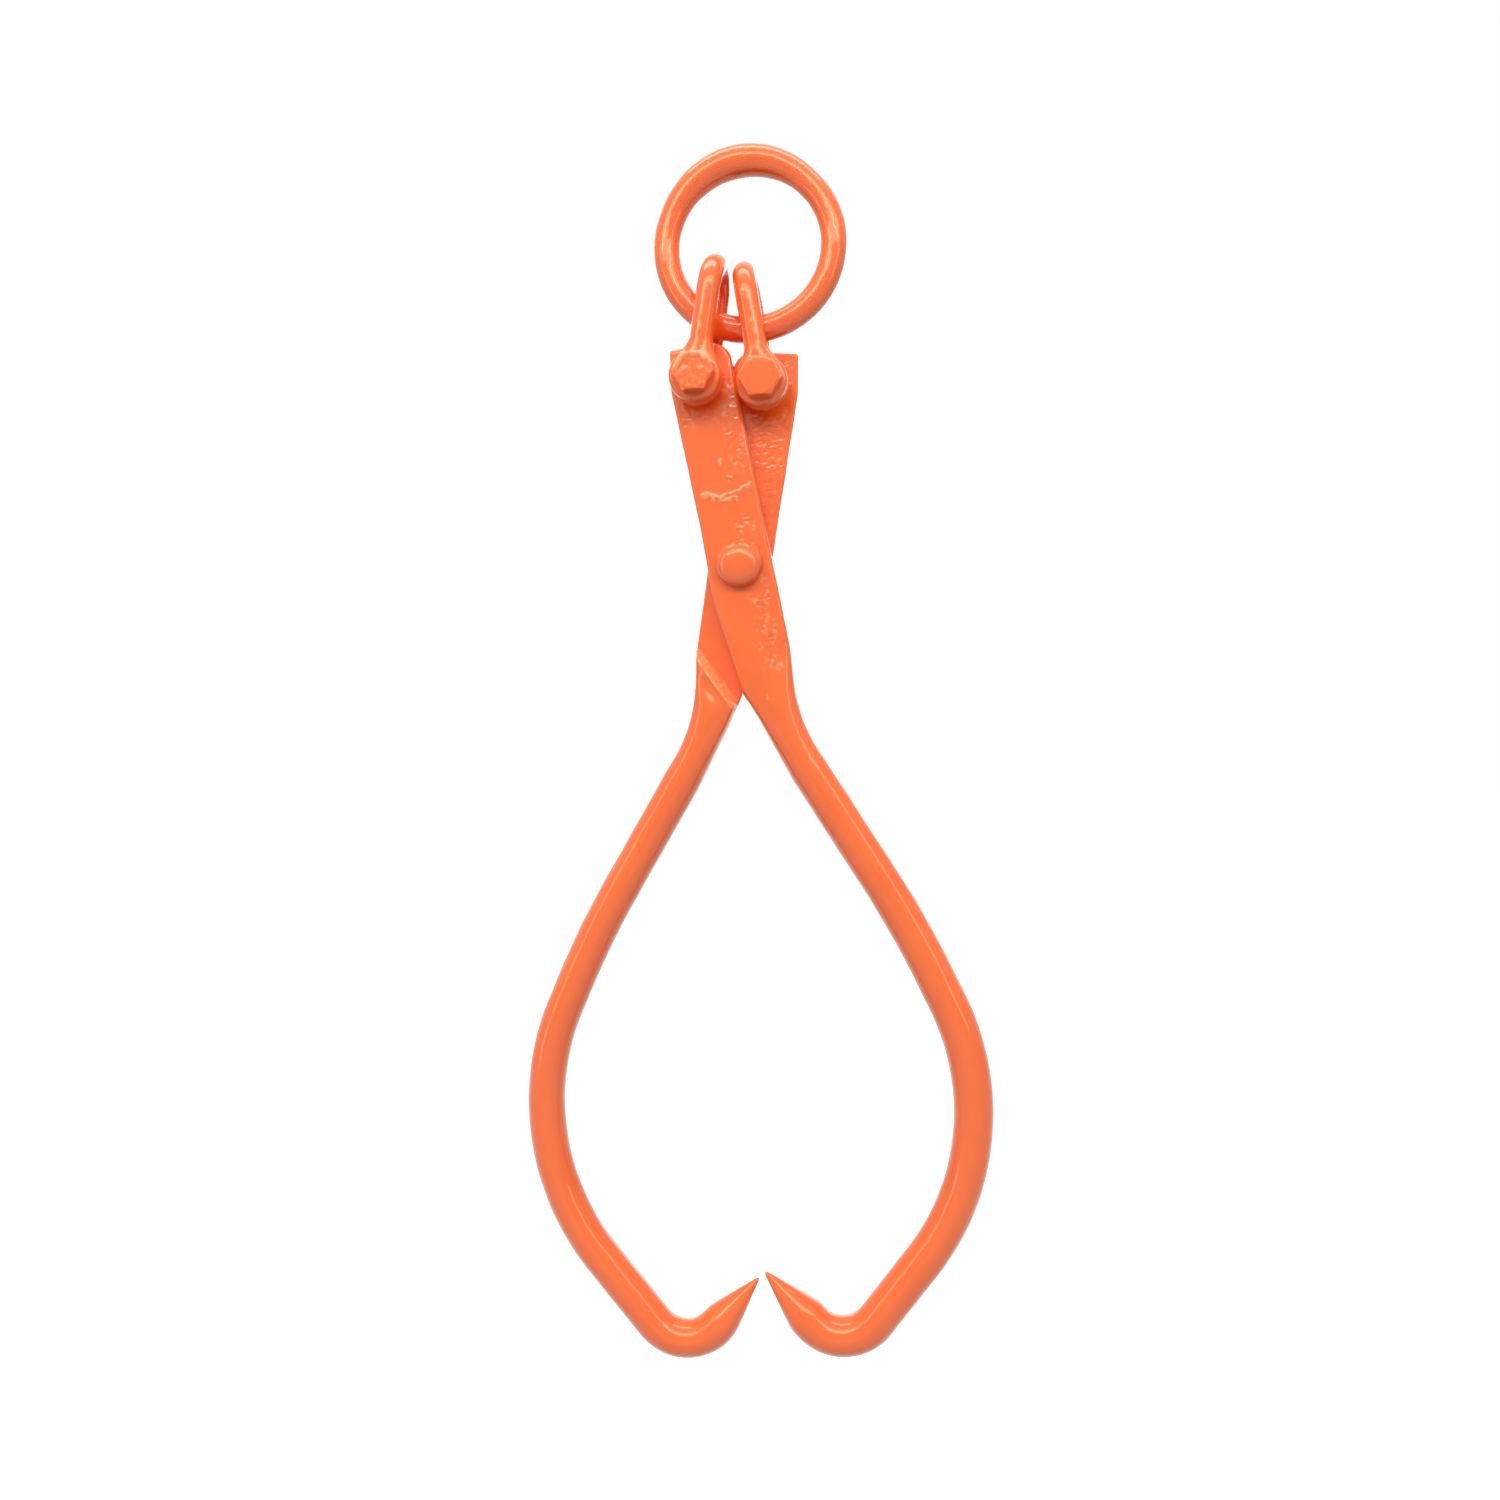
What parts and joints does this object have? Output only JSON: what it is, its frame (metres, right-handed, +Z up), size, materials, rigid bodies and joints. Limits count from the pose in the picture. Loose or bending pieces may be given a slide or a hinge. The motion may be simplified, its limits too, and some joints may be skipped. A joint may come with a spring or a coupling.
{
  "type": "lifting tongs",
  "caption": "Scissor lifting tongs with curved round arms and pointed hooks, hung by shackles from a lift ring, jaws closing as the ring is pulled.",
  "frame": {"origin": "inside top of the lift ring, where the crane hook bears, on the tongs' middle plane", "axes": "+Z up along the pull of the hoist, +X to the right seen from the front, front looking along -Y; the jaws open along X"},
  "size_m": [0.2116, 0.0633, 0.5528],
  "materials": {
    "painted_arm": "thick glossy orange paint over rough forged steel",
    "painted_ring": "thick glossy orange paint on smooth round bar",
    "painted_shackle": "thick glossy orange paint",
    "painted_fastener": "glossy orange paint with softened edges"
  },
  "bodies": {
    "ring": {"lift_ring": "painted_ring"},
    "left_link": {"left_shackle": "painted_shackle", "left_bolt": "painted_fastener", "left_nut": "painted_fastener", "left_lock_washer": "painted_fastener"},
    "front_arm": {"front_arm": "painted_arm", "pivot_rivet": "painted_fastener"},
    "rear_arm": {"rear_arm": "painted_arm"},
    "right_link": {"right_shackle": "painted_shackle", "right_bolt": "painted_fastener", "right_nut": "painted_fastener", "right_lock_washer": "painted_fastener"}
  },
  "joints": [
    {"name": "left_shackle_on_ring", "type": "hinge", "parent": "ring", "child": "left_link", "pos_m": [-0.02324, 0, -0.03927], "axis": [0, 1, 0], "range_deg": [0, 43.58]},
    {"name": "front_arm_on_left_bolt", "type": "hinge", "parent": "left_link", "child": "front_arm", "pos_m": [-0.02454, 0, -0.0961], "axis": [0, 1, 0], "range_deg": [-82.08, 0]},
    {"name": "jaw_pivot", "type": "hinge", "parent": "front_arm", "child": "rear_arm", "pos_m": [-0.01, 0, -0.17953], "axis": [0, 1, 0], "range_deg": [0, 77]},
    {"name": "right_shackle_on_rear_arm", "type": "hinge", "parent": "rear_arm", "child": "right_link", "pos_m": [0.00454, 0, -0.0989], "axis": [0, 1, 0], "range_deg": [-82.08, 0]}
  ],
  "couplings": [
    {"joint": "left_shackle_on_ring", "follows": "jaw_pivot", "ratio": 0.5647},
    {"joint": "front_arm_on_left_bolt", "follows": "jaw_pivot", "ratio": -1.0647},
    {"joint": "right_shackle_on_rear_arm", "follows": "jaw_pivot", "ratio": -1.0647}
  ]
}
